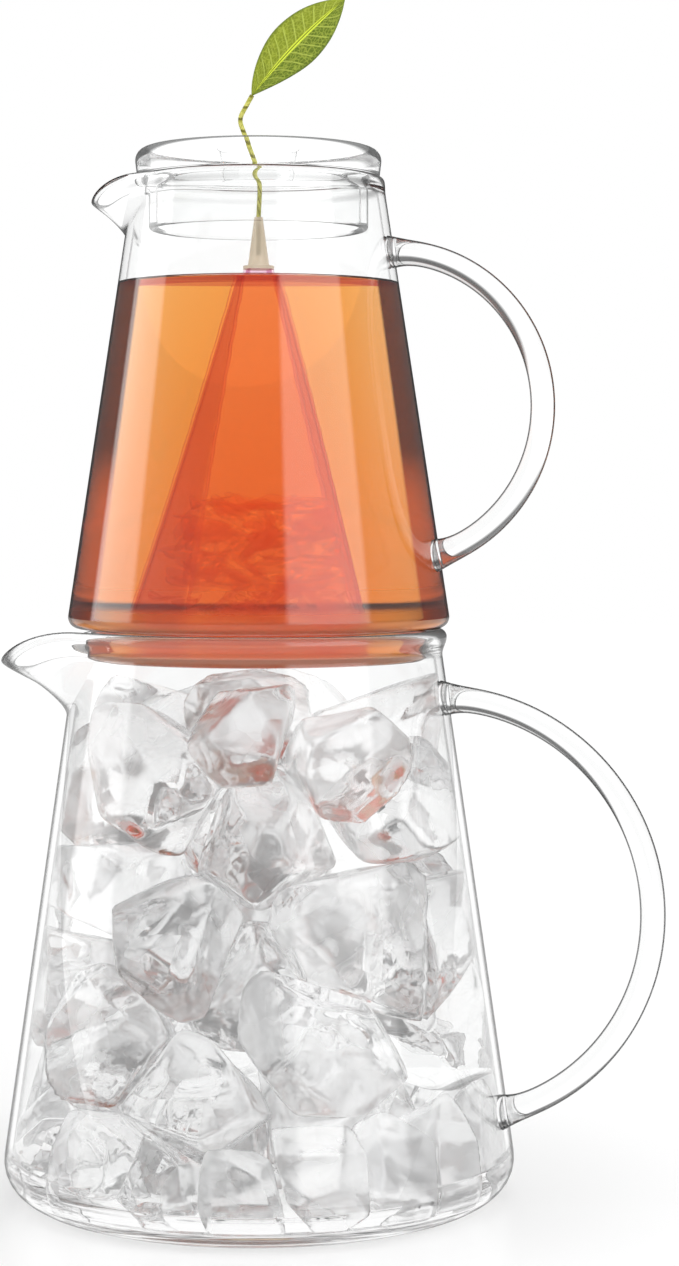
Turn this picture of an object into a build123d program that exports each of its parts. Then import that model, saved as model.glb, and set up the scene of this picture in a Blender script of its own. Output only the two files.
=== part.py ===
from build123d import *
import os
from math import asin, cos, degrees, radians, sin, sqrt, tan

# Iced tea maker: an ice pitcher, a steeping pitcher that stands in its mouth, a stopper
# lid, and a pyramid infuser on a wire stem with a leaf for a finger tab.
# Millimetres. The origin is the centre of the ice pitcher's base, Z is up, the handles
# are on +X and the spouts on -X. "Cone" radii are those of the straight outer wall.

# ---------------------------------------------------------------- driving dimensions
# Ice pitcher
ICE_HEIGHT = 137.7  # base to rim
ICE_FOOT = 63.6  # cone radius carried down to the base
ICE_MOUTH = 43.6  # cone radius at the rim
ICE_CORNER = 9.0  # outer round where the wall meets the base
ICE_WALL = 1.7
ICE_FLOOR = 4.5
ICE_BEAD = 1.6  # radius of the rim's rounded bead
ICE_BEAD_OUT = 0.95  # bead's centre outside the middle of the wall
ICE_SPOUT_REACH = 20.4  # how far the spout's tip stands out of the cone
ICE_SPOUT_DROP = 9.2  # rim down to the spout's tip
ICE_HANDLE_ROD = 6.0
ICE_HANDLE_ROOT = 8.0  # rod widened where it is fused to the wall
ICE_HANDLE_DROP = 16.1  # rim down to the handle's highest centre
ICE_HANDLE_LOW = 20.4  # base up to the handle's lowest centre

# Steeping pitcher; heights are above its shoulder, which rests on the ice pitcher's rim
STEEP_HEIGHT = 108.3
STEEP_SHOULDER = 5.9  # how far the shoulder stands out past the collar
STEEP_MOUTH = 30.0  # cone radius at the rim
STEEP_CORNER = 2.6
STEEP_WALL = 1.7
STEEP_FLOOR = 3.1
STEEP_COLLAR_DEPTH = 7.8
STEEP_COLLAR_CORNER = 3.2
STEEP_BEAD = 1.1
STEEP_BEAD_OUT = 0.0
STEEP_SPOUT_REACH = 11.7
STEEP_SPOUT_DROP = 5.3
STEEP_HANDLE_ROD = 5.8
STEEP_HANDLE_ROOT = 7.4
STEEP_HANDLE_DROP = 18.4
STEEP_HANDLE_LOW = 15.9

# Lid
LID_PLATE = 6.6
LID_EDGE_ROUND = 2.9
LID_EDGE_DRAFT = 0.8  # how much the flange narrows towards its lower face
LID_SEAT_ROUND = 0.5
LID_SKIRT_DEPTH = 13.0
LID_SKIRT_WALL = 1.8
LID_SKIRT_ROUND = 0.7
LID_HOLE_TOP = 9.5  # the hole's radius at the plate's upper face
LID_HOLE_BOTTOM = 8.0
LID_HOLE_ROUND = 0.8

# Infuser
INFUSER_RISE = 104.7  # base up to the point where the four sides would meet
INFUSER_CORNER = 3.0
INFUSER_CLOTH = 0.45
INFUSER_TURN = 26.0  # degrees its sides are turned from the X axis
LEAVES_DEPTH = 33.0
LEAVES_CROWN = 3.0  # how far the heap's middle stands above its edge
CAP_FLANGE = 3.75
CAP_FLANGE_THICK = 0.8
CAP_NECK = 2.6
CAP_TOP = 1.0
CAP_HEIGHT = 12.5
CAP_WALL = 0.5
STEM_GRIP = 9.0  # length of stem held inside the cap

# Stem and leaf, in an upright plane through the axis; "across" runs from spout to handle
STEM_PLANE_TURN = 15.0  # degrees that plane is turned from the X axis
STEM_RADIUS = 0.55
WIRE_RADIUS = 0.25
STEM_LEAN = 0.5  # across, at the lid's skirt
STEM_BOW = -4.7  # across, at the outside of the bend above the lid
STEM_BOW_RISE = 7.2  # lid's top up to that bend
STEM_END = -1.5  # across, where the leaf begins
STEM_END_RISE = 12.9
STEM_BEND_LOW = 22.0
STEM_BEND_HIGH = 3.6
LEAF_LENGTH = 32.0
LEAF_RISE_ANGLE = 45.9  # degrees the leaf's chord climbs
LEAF_THICK = 0.4
LEAF_UPPER_BULGE = 6.8  # chord to the upper edge
LEAF_LOWER_BULGE = 4.9  # chord to the lower edge

# Clearances
SEAT_GAP = 0.3  # between pieces that rest on one another
COLLAR_CLEARANCE = 1.2  # collar to the ice pitcher's mouth
SKIRT_CLEARANCE = 1.6  # lid's skirt to the steeping pitcher's mouth
INFUSER_CLEARANCE = 1.2  # infuser's corners to the steeping pitcher's mouth
LEAVES_CLEARANCE = 0.25  # leaf tea to the cloth round it

# Glass drawing, shared by both pitchers
SPOUT_SPREAD = 38.0  # degrees between the spout's axis and its flanks
SPOUT_CLIMB = 29.0  # degrees its underside rises towards the tip
SPOUT_TIP_RADIUS = 2.2
SPOUT_WALL = 1.2
SPOUT_DEPTH = 0.72  # share of the wall's radius at which the spout's cone ends, inside
LIP_START = 0.82  # share of the rim's radius where the lip begins to dip
BEAD_GAP = 38.0  # degrees either side of the spout without a rim bead
BURIED = 4.0  # handle rod drawn into the wall before it is cut to it
FLARE = 7.0  # length over which a handle's end widens
FLARE_LAP = 0.3  # how far the narrow end of that widening lies inside the rod


# ------------------------------------------------------------------- derived places
SEAT_Z = ICE_HEIGHT + SEAT_GAP
COLLAR_RADIUS = ICE_MOUTH - ICE_WALL - COLLAR_CLEARANCE
STEEP_FOOT = COLLAR_RADIUS + STEEP_SHOULDER
STEEP_RIM_Z = SEAT_Z + STEEP_HEIGHT
STEEP_MOUTH_INNER = STEEP_MOUTH - STEEP_WALL / 2 - STEEP_BEAD
STEEP_BOTTOM_Z = SEAT_Z - STEEP_COLLAR_DEPTH
LID_Z = STEEP_RIM_Z + SEAT_GAP
LID_TOP_Z = LID_Z + LID_PLATE
INFUSER_Z = STEEP_BOTTOM_Z + STEEP_FLOOR + SEAT_GAP
STEM_PLANE = Plane(
    origin=(0, 0, 0),
    x_dir=(cos(radians(STEM_PLANE_TURN)), sin(radians(STEM_PLANE_TURN)), 0),
    z_dir=(sin(radians(STEM_PLANE_TURN)), -cos(radians(STEM_PLANE_TURN)), 0),
)


# ----------------------------------------------------------------------- small tools
def turned(*corners):
    """Solid of revolution about Z through corners given as (radius, height, round)."""
    outline = FilletPolyline(
        *[(r, z) for r, z, _ in corners],
        radius=[rounding for _, _, rounding in corners],
        close=True,
    )
    return revolve(Plane.XZ * make_face(outline), axis=Axis.Z)


def save(shape, node):
    """Writes one node's STEP file."""
    export_step(shape, f"parts/{node}.step")


class Vessel:
    """A pitcher's straight tapered wall with a spout drawn out of it at -X."""

    def __init__(self, foot, mouth, base_z, rim_z, wall, bead, bead_out, reach, drop):
        self.foot = foot
        self.base_z = base_z
        self.rim_z = rim_z
        self.slope = (foot - mouth) / (rim_z - base_z)
        self.wall = wall
        self.bead = bead
        self.bead_radius = mouth - wall / 2 + bead_out
        self.wall_top_z = rim_z - bead / 2
        self.tip_x = -(self.cone(rim_z - drop) + reach)
        self.tip_z = rim_z - drop
        self.lip_start_x = -LIP_START * self.cone(rim_z)

    def cone(self, z, inset=0.0):
        """Radius of the wall at height z, set in by a thickness."""
        return self.foot - self.slope * (z - self.base_z) - inset

    def spout(self, inset=0.0):
        """Cone that opens from the spout's tip into the pitcher, set in by a thickness."""
        length = -self.tip_x - SPOUT_DEPTH * self.cone(self.tip_z)
        spread = radians(SPOUT_SPREAD)
        tilt = radians(SPOUT_SPREAD - SPOUT_CLIMB)
        tip_radius = SPOUT_TIP_RADIUS - inset / cos(spread)
        inward = Plane(origin=(self.tip_x, 0, self.tip_z), z_dir=(cos(tilt), 0, sin(tilt)))
        on_base = (Align.CENTER, Align.CENTER, Align.MIN)
        return inward * Cone(tip_radius, tip_radius + length * tan(spread), length, align=on_base)

    def above_lip(self):
        """Everything above the lip, which dips along an arc to the spout's tip."""
        run = self.lip_start_x - self.tip_x
        drop = self.wall_top_z - self.tip_z
        bow = (run**2 + drop**2) / (2 * drop)
        half_run = run / 2
        start = (self.lip_start_x, self.wall_top_z)
        dip = (start[0] - half_run, start[1] - bow + sqrt(bow**2 - half_run**2))
        tip = (self.tip_x, self.tip_z)
        side = 2 * self.foot
        high = self.rim_z + side
        outline = [
            Line((side, start[1]), start),
            ThreePointArc(start, dip, tip),
            Polyline(tip, (-side, self.tip_z), (-side, high), (side, high), (side, start[1])),
        ]
        return extrude(Plane.XZ * make_face(outline), amount=side, both=True)

    def rim_bead(self):
        """Rounded bead on the level part of the rim, and a ball for each of its ends."""
        r, z = self.bead_radius, self.rim_z - self.bead
        end = 180 - BEAD_GAP
        section = Plane.XZ * Pos(r, z) * Circle(self.bead)
        ring = Rot(0, 0, -end) * revolve(section, axis=Axis.Z, revolution_arc=2 * end)
        balls = [Rot(0, 0, turn) * Pos(r, 0, z) * Sphere(self.bead) for turn in (-end, end)]
        return [ring, *balls]

    def hollowed(self, outside, inside):
        """Blank with its spout and hollow, cut down to the lip and beaded."""
        body = outside + self.spout() - inside - self.spout(SPOUT_WALL) - self.above_lip()
        for part in self.rim_bead():
            body += part
        return body


def fused_handle(vessel, outside, top_z, low_z, rod, root):
    """Glass rod bent to one arc, widened at both ends and cut to the vessel's wall."""
    bend = (top_z - low_z) / 2
    centre_z = (top_z + low_z) / 2
    centre_x = vessel.cone(top_z)
    low_x = centre_x
    for _ in range(20):
        low_x = vessel.cone(centre_z - sqrt(bend**2 - (low_x - centre_x) ** 2))
    buried = degrees(BURIED / bend)
    low_turn = degrees(asin((low_x - centre_x) / bend)) - 90 - buried
    arc = Plane.XZ * CenterArc((centre_x, centre_z), bend, low_turn, 90 + buried - low_turn)
    handle = sweep(Plane(origin=arc @ 0, z_dir=arc % 0) * Circle(rod / 2), path=arc)
    ends = [Plane(origin=arc @ 0, z_dir=arc % 0), Plane(origin=arc @ 1, z_dir=-(arc % 1))]
    on_base = (Align.CENTER, Align.CENTER, Align.MIN)
    for end in ends:
        handle += end * Cone(root / 2, rod / 2 - FLARE_LAP, FLARE + BURIED, align=on_base)
    return handle - outside


def ice_pitcher():
    """Body and handle of the ice pitcher."""
    vessel = Vessel(
        ICE_FOOT, ICE_MOUTH, 0, ICE_HEIGHT, ICE_WALL, ICE_BEAD, ICE_BEAD_OUT,
        ICE_SPOUT_REACH, ICE_SPOUT_DROP,
    )
    top = ICE_HEIGHT
    outside = turned(
        (0, 0, 0), (vessel.cone(0), 0, ICE_CORNER),
        (vessel.cone(top), top, 0), (0, top, 0),
    )
    inside = turned(
        (0, ICE_FLOOR, 0), (vessel.cone(ICE_FLOOR, ICE_WALL), ICE_FLOOR, ICE_CORNER - ICE_WALL),
        (vessel.cone(top, ICE_WALL), top, 0), (0, top, 0),
    )
    handle = fused_handle(
        vessel, outside, ICE_HEIGHT - ICE_HANDLE_DROP, ICE_HANDLE_LOW,
        ICE_HANDLE_ROD, ICE_HANDLE_ROOT,
    )
    return vessel.hollowed(outside, inside), handle


def steeping_pitcher():
    """Body and handle of the steeping pitcher, with the collar below its shoulder."""
    vessel = Vessel(
        STEEP_FOOT, STEEP_MOUTH, SEAT_Z, STEEP_RIM_Z, STEEP_WALL, STEEP_BEAD, STEEP_BEAD_OUT,
        STEEP_SPOUT_REACH, STEEP_SPOUT_DROP,
    )
    top = STEEP_RIM_Z
    outside = turned(
        (0, STEEP_BOTTOM_Z, 0), (COLLAR_RADIUS, STEEP_BOTTOM_Z, STEEP_COLLAR_CORNER),
        (COLLAR_RADIUS, SEAT_Z, 0), (vessel.cone(SEAT_Z), SEAT_Z, STEEP_CORNER),
        (vessel.cone(top), top, 0), (0, top, 0),
    )
    floor = STEEP_BOTTOM_Z + STEEP_FLOOR
    step = SEAT_Z + STEEP_WALL
    collar_inner = COLLAR_RADIUS - STEEP_WALL
    inside = turned(
        (0, floor, 0), (collar_inner, floor, STEEP_COLLAR_CORNER / 2),
        (collar_inner, step, 0), (vessel.cone(step, STEEP_WALL), step, STEEP_CORNER / 2),
        (vessel.cone(top, STEEP_WALL), top, 0), (0, top, 0),
    )
    handle = fused_handle(
        vessel, outside, STEEP_RIM_Z - STEEP_HANDLE_DROP, SEAT_Z + STEEP_HANDLE_LOW,
        STEEP_HANDLE_ROD, STEEP_HANDLE_ROOT,
    )
    return vessel.hollowed(outside, inside), handle


def lid():
    """Stopper: a rounded plate with a tapered hole, and a skirt that enters the mouth."""
    flange = STEEP_MOUTH
    skirt = STEEP_MOUTH_INNER - SKIRT_CLEARANCE
    skirt_z = LID_Z - LID_SKIRT_DEPTH
    return turned(
        (LID_HOLE_BOTTOM, LID_Z, LID_HOLE_ROUND), (LID_HOLE_TOP, LID_TOP_Z, LID_HOLE_ROUND),
        (flange, LID_TOP_Z, LID_EDGE_ROUND), (flange - LID_EDGE_DRAFT, LID_Z, LID_SEAT_ROUND),
        (skirt, LID_Z, LID_SKIRT_ROUND), (skirt, skirt_z, LID_SKIRT_ROUND),
        (skirt - LID_SKIRT_WALL, skirt_z, LID_SKIRT_ROUND), (skirt - LID_SKIRT_WALL, LID_Z, LID_SKIRT_WALL),
    )


class Infuser:
    """Pyramid bag with its apex over the centre, its cap, its stem and its leaf."""

    def __init__(self):
        corner_reach = STEEP_MOUTH_INNER - INFUSER_CLEARANCE
        self.half = (corner_reach + INFUSER_CORNER * (sqrt(2) - 1)) / sqrt(2)
        self.apex_z = INFUSER_Z + INFUSER_RISE
        self.floor_z = INFUSER_Z + INFUSER_CLOTH
        self.cap_z = self.apex_z - CAP_FLANGE / sqrt(2) / self.taper()
        self.cap_top_z = self.cap_z + CAP_HEIGHT

    def taper(self):
        """How much half a side shrinks for each millimetre of rise."""
        return self.half / INFUSER_RISE

    def square(self, z, inset=0.0):
        """Level section of the pyramid at height z, set in from its sides."""
        half = self.taper() * (self.apex_z - z) - inset
        rounding = INFUSER_CORNER * half / self.half
        return Pos(0, 0, z) * Rot(0, 0, INFUSER_TURN) * RectangleRounded(2 * half, 2 * half, rounding)

    def block(self, low_z, high_z, inset=0.0):
        """Solid part of the pyramid between two heights."""
        return loft([self.square(low_z, inset), self.square(high_z, inset)], ruled=True)

    def sides(self):
        outer = self.block(self.floor_z, self.cap_z)
        return outer - self.block(self.floor_z, self.cap_z, INFUSER_CLOTH)

    def base(self):
        return self.block(INFUSER_Z, self.floor_z)

    def tea_leaves(self):
        """Heap of leaf tea with a domed top, lying loose in the bag."""
        low = self.floor_z + LEAVES_CLEARANCE
        edge = low + LEAVES_DEPTH
        heap = self.block(low, edge + LEAVES_CROWN, INFUSER_CLOTH + LEAVES_CLEARANCE)
        dome_radius = (self.half**2 + LEAVES_CROWN**2) / (2 * LEAVES_CROWN)
        dome = Pos(0, 0, edge + LEAVES_CROWN - dome_radius) * Sphere(dome_radius)
        return heap & dome

    def cap(self):
        """Flanged cone that gathers the bag's tip and grips the stem."""
        z = self.cap_z
        rim = z + CAP_FLANGE_THICK
        bore = self.cap_top_z - STEM_GRIP
        shell = turned(
            (0, z, 0), (CAP_FLANGE, z, 0), (CAP_FLANGE, rim, 0), (CAP_NECK, rim, CAP_WALL),
            (CAP_TOP, self.cap_top_z, 0), (0, self.cap_top_z, 0),
        )
        return shell - Pos(0, 0, bore) * extrude(Circle(STEM_RADIUS), amount=STEM_GRIP)

    def stem_path(self):
        """Centre line of the stem, in the stem's plane."""
        foot = (0, self.cap_top_z - STEM_GRIP)
        top = (0, self.cap_top_z)
        lean = (STEM_LEAN, LID_Z)
        bow = (STEM_BOW, LID_TOP_Z + STEM_BOW_RISE)
        end = (STEM_END, LID_TOP_Z + STEM_END_RISE)
        bends = [STEM_BEND_LOW, STEM_BEND_LOW, STEM_BEND_HIGH]
        return STEM_PLANE * FilletPolyline(foot, top, lean, bow, end, radius=bends)

    def stem(self):
        """Paper wrap and the wire inside it."""
        path = self.stem_path()
        start = Plane(origin=path @ 0, z_dir=path % 0)
        wire = sweep(start * Circle(WIRE_RADIUS), path=path)
        wrap = sweep(start * (Circle(STEM_RADIUS) - Circle(WIRE_RADIUS)), path=path)
        return wire, wrap

    def leaf(self):
        """Leaf with two bowed edges, its stalk end on the end of the stem."""
        path = self.stem_path()
        stalk = STEM_PLANE.to_local_coords(path @ 1)
        along = radians(LEAF_RISE_ANGLE)
        tip = (stalk.X + LEAF_LENGTH * cos(along), stalk.Y + LEAF_LENGTH * sin(along))
        edges = []
        for bulge in (LEAF_UPPER_BULGE, -LEAF_LOWER_BULGE):
            middle = (
                (stalk.X + tip[0]) / 2 - bulge * sin(along),
                (stalk.Y + tip[1]) / 2 + bulge * cos(along),
            )
            edges.append(ThreePointArc((stalk.X, stalk.Y), middle, tip))
        return extrude(STEM_PLANE * make_face(edges), amount=LEAF_THICK / 2, both=True)


def main():
    """Builds every node and writes its STEP file."""
    os.makedirs("parts", exist_ok=True)
    for name, build in (("ice_pitcher", ice_pitcher), ("steeping_pitcher", steeping_pitcher)):
        body, handle = build()
        save(body, f"{name}_body")
        save(handle, f"{name}_handle")
    save(lid(), "lid")
    infuser = Infuser()
    wire, wrap = infuser.stem()
    save(infuser.sides(), "infuser_sides")
    save(infuser.base(), "infuser_base")
    save(infuser.tea_leaves(), "tea_leaves")
    save(infuser.cap(), "infuser_cap")
    save(wire, "stem_wire")
    save(wrap, "stem_wrap")
    save(infuser.leaf(), "infuser_leaf")


main()
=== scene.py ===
import math
import random

import bmesh
import bpy
import numpy as np
from bpy.props import FloatProperty, FloatVectorProperty, IntProperty, PointerProperty
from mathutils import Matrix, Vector, noise


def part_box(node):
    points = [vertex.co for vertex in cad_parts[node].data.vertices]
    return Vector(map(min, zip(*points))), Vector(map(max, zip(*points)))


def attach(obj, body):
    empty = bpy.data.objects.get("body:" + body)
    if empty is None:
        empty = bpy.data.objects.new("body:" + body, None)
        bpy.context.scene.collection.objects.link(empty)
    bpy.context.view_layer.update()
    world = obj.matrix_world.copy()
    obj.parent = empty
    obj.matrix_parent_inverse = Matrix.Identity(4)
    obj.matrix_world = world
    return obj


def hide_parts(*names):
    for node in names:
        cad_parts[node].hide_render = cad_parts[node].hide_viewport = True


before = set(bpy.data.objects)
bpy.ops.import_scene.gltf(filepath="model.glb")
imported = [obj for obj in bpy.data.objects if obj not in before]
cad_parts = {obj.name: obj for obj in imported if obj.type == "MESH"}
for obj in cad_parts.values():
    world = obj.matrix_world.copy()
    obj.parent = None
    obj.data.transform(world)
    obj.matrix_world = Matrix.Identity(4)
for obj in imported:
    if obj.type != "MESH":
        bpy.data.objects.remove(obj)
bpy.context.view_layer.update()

bl_info = {
    "name": "Iced tea maker",
    "version": (1, 0, 0),
    "blender": (4, 5, 0),
    "location": "View3D > Sidebar > Iced tea",
    "description": "Glass iced tea maker with a steeping pitcher, an ice pitcher and a pyramid infuser",
    "category": "Add Mesh",
}

MM = 0.001
TAU = 2 * math.pi
QUARTER = math.pi / 2

# Heights of the frame's own nodes, in metres
ICE_BASE, ICE_RIM = (corner[2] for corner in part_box("ice_pitcher_body"))
STEEP_BASE, STEEP_RIM = (corner[2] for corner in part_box("steeping_pitcher_body"))
LID_BASE, LID_CROWN = (corner[2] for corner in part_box("lid"))
BAG_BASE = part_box("infuser_sides")[0][2]
CAP_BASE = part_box("infuser_cap")[0][2]
HEAP_BASE, HEAP_CROWN = (corner[2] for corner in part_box("tea_leaves"))

CAMERA_PLACE = (0.196, -0.655, 0.170)
CAMERA_LENS = 80.1
CAMERA_YAW = 1.637  # degrees that it looks to the right of the pitchers' axis
CAMERA_PITCH = 2.8  # degrees that it looks down

GLASS_BOUNCES = 96
CLEAR_BOUNCES = 32  # through surfaces that do not bend light

CLEAR = (1.0, 1.0, 1.0)
RING_POINTS = 224  # round the lid and the tea
ARC_STEPS = 8  # along each round of an outline
TIGHT_ROUND = 1.5 * MM  # a round this small or smaller counts as fully bent
WELD = 1e-6  # points nearer than this become one


# ------------------------------------------------------------------ properties
def length(name, description, default_mm):
    """A size in metres, given in millimetres."""
    return FloatProperty(
        name=name, description=description, default=default_mm * MM, min=0.0,
        subtype="DISTANCE", unit="LENGTH", precision=5,
    )


def angle(name, description, degrees):
    """An angle, given in degrees."""
    return FloatProperty(
        name=name, description=description, default=math.radians(degrees), subtype="ANGLE", unit="ROTATION",
    )


def number(name, description, value):
    """A plain number."""
    return FloatProperty(name=name, description=description, default=value, min=0.0)


def count(name, description, value, least=0):
    """A whole number."""
    return IntProperty(name=name, description=description, default=value, min=least)


def colour(name, description, value):
    """A linear colour."""
    return FloatVectorProperty(
        name=name, description=description, default=value, size=3, min=0.0, max=1.0, subtype="COLOR",
    )


class IcePitcherSizes(bpy.types.PropertyGroup):
    """Sizes of the lower pitcher."""

    foot: length("Foot radius", "Wall's radius carried down to the base", 63.6)
    mouth: length("Mouth radius", "Wall's radius at the rim", 43.6)
    wall: length("Wall", "Thickness of the wall", 1.7)
    floor: length("Floor", "Thickness of the base", 4.5)
    corner: length("Corner round", "Round where the wall meets the base", 9.0)
    kick: length("Kick", "Height of the hollow under the base", 0.8)
    kick_radius: length("Kick radius", "Radius of the hollow under the base", 46.0)
    bead: length("Bead radius", "Radius of the rolled rim", 1.6)
    bead_out: length("Bead offset", "How far the rolled rim stands outside the wall's middle", 0.95)
    reach: length("Spout reach", "How far the spout's tip stands out of the wall", 20.4)
    drop: length("Spout drop", "Rim down to the spout's tip", 9.2)
    root: length("Spout root", "Rim down to where the spout leaves the wall", 23.5)
    rod: length("Handle rod", "Diameter of the handle", 6.0)
    fused: length("Handle foot", "Diameter of the handle where it is fused on", 8.4)
    handle_drop: length("Handle drop", "Rim down to the handle's highest centre", 16.1)
    handle_low: length("Handle height", "Base up to the handle's lowest centre", 20.4)


class SteepingPitcherSizes(bpy.types.PropertyGroup):
    """Sizes of the upper pitcher."""

    foot: length("Shoulder radius", "Wall's radius carried down to the shoulder", 46.6)
    mouth: length("Mouth radius", "Wall's radius at the rim", 30.0)
    wall: length("Wall", "Thickness of the wall", 1.7)
    floor: length("Floor", "Thickness of the base", 3.1)
    corner: length("Shoulder round", "Round of the shoulder's edge", 2.6)
    collar: length("Collar radius", "Radius of the collar that enters the ice pitcher", 40.7)
    collar_depth: length("Collar depth", "Shoulder down to the base", 7.8)
    collar_round: length("Collar round", "Round of the collar's lower edge", 3.2)
    step_round: length("Step round", "Round inside, where the wall drops into the collar", 1.2)
    bead: length("Bead radius", "Radius of the rolled rim", 1.1)
    bead_out: length("Bead offset", "How far the rolled rim stands outside the wall's middle", 0.0)
    reach: length("Spout reach", "How far the spout's tip stands out of the wall", 11.7)
    drop: length("Spout drop", "Rim down to the spout's tip", 5.3)
    root: length("Spout root", "Rim down to where the spout leaves the wall", 15.5)
    rod: length("Handle rod", "Diameter of the handle", 5.8)
    fused: length("Handle foot", "Diameter of the handle where it is fused on", 7.8)
    handle_drop: length("Handle drop", "Rim down to the handle's highest centre", 18.4)
    handle_low: length("Handle height", "Shoulder up to the handle's lowest centre", 15.9)


class LidSizes(bpy.types.PropertyGroup):
    """Sizes of the stopper lid."""

    flange: length("Flange radius", "Radius of the lid's upper part", 30.0)
    flange_draft: length("Flange draft", "How much narrower the flange is where it rests on the rim", 0.8)
    crown_round: length("Crown round", "Round of the upper edge", 2.9)
    seat: length("Seat height", "Skirt's lower edge up to where the lid rests on the rim", 13.0)
    skirt: length("Skirt radius", "Outside radius of the skirt", 26.45)
    skirt_wall: length("Skirt wall", "Thickness of the skirt", 1.8)
    edge: length("Edge round", "Round of the skirt's lower edges", 0.85)
    hole_low: length("Hole radius below", "Radius of the hole at its lower end", 8.0)
    hole_top: length("Hole radius above", "Radius of the hole at its upper end", 9.5)


class InfuserSizes(bpy.types.PropertyGroup):
    """Sizes of the pyramid bag."""

    half: length("Half side", "Half of the bag's side at its base", 20.0)
    rise: length("Rise", "Base up to where the sides would meet", 104.7)
    corner: length("Corner", "Round of the bag's corners at its base", 3.0)
    turn: angle("Turn", "Angle of the bag's sides from the spout's line", 26.0)
    cloth: length("Cloth", "Thickness of the cloth", 0.3)
    belly: length("Belly", "How far the sides belly out", 0.5)
    seam: length("Seam", "Width of the pressed seams", 0.9)
    thread: length("Thread", "Spacing of the threads", 0.4)
    across: count("Steps across", "Points along each side", 14, 2)
    round_steps: count("Corner steps", "Points round each corner", 4, 1)


class LeafSizes(bpy.types.PropertyGroup):
    """Sizes of the leaf on the stem."""

    length: length("Length", "Stalk end to tip", 32.0)
    climb: angle("Climb", "Angle at which the leaf rises", 45.9)
    plane_turn: angle("Plane turn", "Angle of the stem's plane from the spout's line", 15.0)
    stalk_height: length("Stalk height", "Height of the stalk end above the stand", 266.1)
    stalk_back: length("Stalk set-back", "How far behind the pitchers' axis the leaf begins", 1.5)
    upper_bulge: length("Upper bulge", "Chord to the upper edge", 6.9)
    lower_bulge: length("Lower bulge", "Chord to the lower edge", 4.95)
    rib_bow: length("Rib bow", "Chord to the midrib", 0.9)
    thickness: length("Thickness", "Thickness of the leaf", 0.35)
    fold: length("Fold", "How far the halves fold up from the midrib", 0.7)
    wave: length("Wave", "Ripple along the edges", 0.22)
    curl: length("Curl", "How far the ends curl back", 2.2)


class ContentsSizes(bpy.types.PropertyGroup):
    """The tea and ice that the pitchers hold."""

    tea_level: length("Tea level", "Height of the tea's surface above the stand", 220.4)
    meniscus: length("Meniscus", "How far the tea creeps up the glass", 0.6)
    tea_colour: colour("Tea colour", "What the tea lets through", (0.962, 0.636, 0.091))
    tea_strength: number("Tea strength", "How strongly the tea absorbs, per metre", 45.0)
    leaf_count: count("Wet leaves", "How many steeped tea leaves", 240, 1)
    leaf_length: length("Wet leaf length", "Length of a steeped tea leaf", 11.5)
    leaf_width: length("Wet leaf width", "Width of a steeped tea leaf", 4.6)
    ice_level: length("Ice level", "Height of the ice above the stand", 128.0)
    chips: count("Chips", "Flat chips knocked off each lump", 9)
    ice_count: count("Ice lumps", "How many lumps of ice", 44, 4)
    small_ice: count("Small lumps", "Small lumps round the bottom", 18, 1)
    seed: count("Seed", "Seed of everything random", 7)


# ------------------------------------------------------------------ shader tools
class Value:
    """A socket in a node tree; arithmetic on it adds Math nodes."""

    def __init__(self, tree, socket):
        self.tree = tree
        self.socket = socket

    def math(self, operation, *others, clamp=False):
        """One Math node on this value and the others."""
        node = self.tree.nodes.new("ShaderNodeMath")
        node.operation = operation
        node.use_clamp = clamp
        for slot, value in zip(node.inputs, (self, *others)):
            put(self.tree, slot, value)
        return Value(self.tree, node.outputs[0])

    def __add__(self, other):
        return self.math("ADD", other)

    def __sub__(self, other):
        return self.math("SUBTRACT", other)

    def __rsub__(self, other):
        return (self * -1.0).math("ADD", other)

    def __mul__(self, other):
        return self.math("MULTIPLY", other)

    def __truediv__(self, other):
        return self.math("DIVIDE", other)

    def __pow__(self, other):
        return self.math("POWER", other)

    def __abs__(self):
        return self.math("ABSOLUTE")

    __radd__ = __add__
    __rmul__ = __mul__

    def clamped(self):
        """Held between 0 and 1."""
        return self.math("ADD", 0.0, clamp=True)

    def step(self, low, high):
        """Rises smoothly from 0 at low to 1 at high."""
        node = self.tree.nodes.new("ShaderNodeMapRange")
        node.interpolation_type = "SMOOTHSTEP"
        put(self.tree, node.inputs["Value"], self)
        put(self.tree, node.inputs["From Min"], low)
        put(self.tree, node.inputs["From Max"], high)
        return Value(self.tree, node.outputs["Result"])


def put(tree, slot, value):
    """Sets an input to a number or colour, or links a value to it."""
    if isinstance(value, Value):
        tree.links.new(value.socket, slot)
    elif isinstance(value, (tuple, list)) and slot.type == "RGBA" and len(value) == 3:
        slot.default_value = (*value, 1.0)
    else:
        slot.default_value = value


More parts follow.
